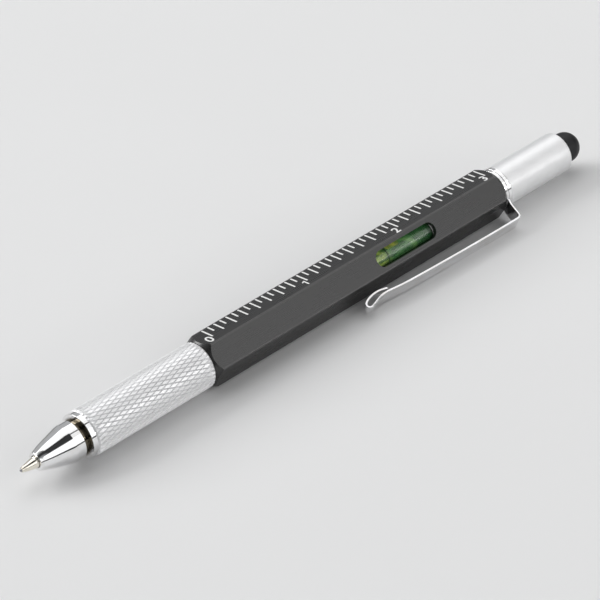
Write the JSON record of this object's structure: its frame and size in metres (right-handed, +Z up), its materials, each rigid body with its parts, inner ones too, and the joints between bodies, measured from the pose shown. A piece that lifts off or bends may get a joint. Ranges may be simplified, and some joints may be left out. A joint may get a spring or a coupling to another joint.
{
  "type": "multi tool pen",
  "caption": "Hexagonal twist ballpoint pen with a ruled barrel, spirit level, spring clip, and a touch stylus cap over a driver bit.",
  "frame": {"origin": "on the table, under the middle of the whole pen's box, as it lies on a barrel edge and its clip", "axes": "+X along the pen from the writing tip to the stylus, +Z up from the table, -Y the side that the level window looks towards"},
  "size_m": [0.1528, 0.0146, 0.0103],
  "materials": {
    "black_anodised": "black anodised, satin, with a white printed scale",
    "knurled_aluminium": "diamond knurled",
    "satin_aluminium": "satin",
    "polished_chrome": "polished",
    "turned_brass": "turned",
    "nickel_silver": "turned",
    "carbide": "ground",
    "blue_ink": "paste",
    "spring_steel": "drawn wire and sheet",
    "tool_steel": "hardened",
    "white_acetal": "moulded",
    "black_plastic": "moulded",
    "clear_acrylic": "clear",
    "green_liquid": "clear liquid",
    "air_bubble": "air in liquid",
    "magnet": "plated",
    "black_rubber": "conductive silicone, matt"
  },
  "bodies": {
    "barrel": {"hex_barrel": "black_anodised", "twist_cam": "white_acetal", "vial_cradle": "black_plastic", "vial_tube": "clear_acrylic", "vial_plug": "black_plastic", "vial_liquid": "green_liquid", "clip": "polished_chrome", "bit_holder": "polished_chrome", "bit_magnet": "magnet"},
    "grip": {"grip_sleeve": "knurled_aluminium", "grip_liner": "turned_brass", "front_ring": "polished_chrome", "nose_cone": "polished_chrome", "twist_guide": "turned_brass", "guide_retainer": "spring_steel", "return_spring": "spring_steel"},
    "refill": {"refill_tip": "nickel_silver", "writing_ball": "carbide", "refill_tube": "turned_brass", "refill_ink": "blue_ink", "refill_carrier": "white_acetal", "carrier_pin": "tool_steel"},
    "bubble": {"vial_bubble": "air_bubble"},
    "stylus": {"stylus_holder": "turned_brass", "stylus_tip": "black_rubber"},
    "cap": {"cap_sleeve": "satin_aluminium", "cap_liner": "turned_brass"},
    "bit": {"screwdriver_bit": "tool_steel"}
  },
  "joints": [
    {"name": "grip_twist", "type": "hinge", "parent": "barrel", "child": "grip", "pos_m": [-0.0311, 0.00183, 0.00514], "axis": [1, 0, 0], "range_deg": [0, 182]},
    {"name": "refill_slide", "type": "slide", "parent": "grip", "child": "refill", "axis": [1, 0, 0], "range_m": [0, 0.0052], "deforming": ["return_spring"]},
    {"name": "bubble_run", "type": "slide", "parent": "barrel", "child": "bubble", "axis": [1, 0, 0], "range_m": [0, 0.0072]},
    {"name": "cap_pull", "type": "slide", "parent": "barrel", "child": "stylus", "axis": [1, 0, 0], "range_m": [0, 0.048]},
    {"name": "cap_turn", "type": "hinge", "parent": "stylus", "child": "cap", "pos_m": [0.05245, 0.00183, 0.00514], "axis": [1, 0, 0], "range_deg": [0, 2170]},
    {"name": "bit_pull", "type": "slide", "parent": "barrel", "child": "bit", "axis": [1, 0, 0], "range_m": [0, 0.0242]}
  ],
  "couplings": [
    {"joint": "grip_twist", "follows": "refill_slide", "rad_per_m": 604.15},
    {"joint": "cap_turn", "follows": "cap_pull", "rad_per_m": 785.4},
    {"joint": "bit_pull", "follows": "cap_pull", "ratio": 0.5}
  ]
}
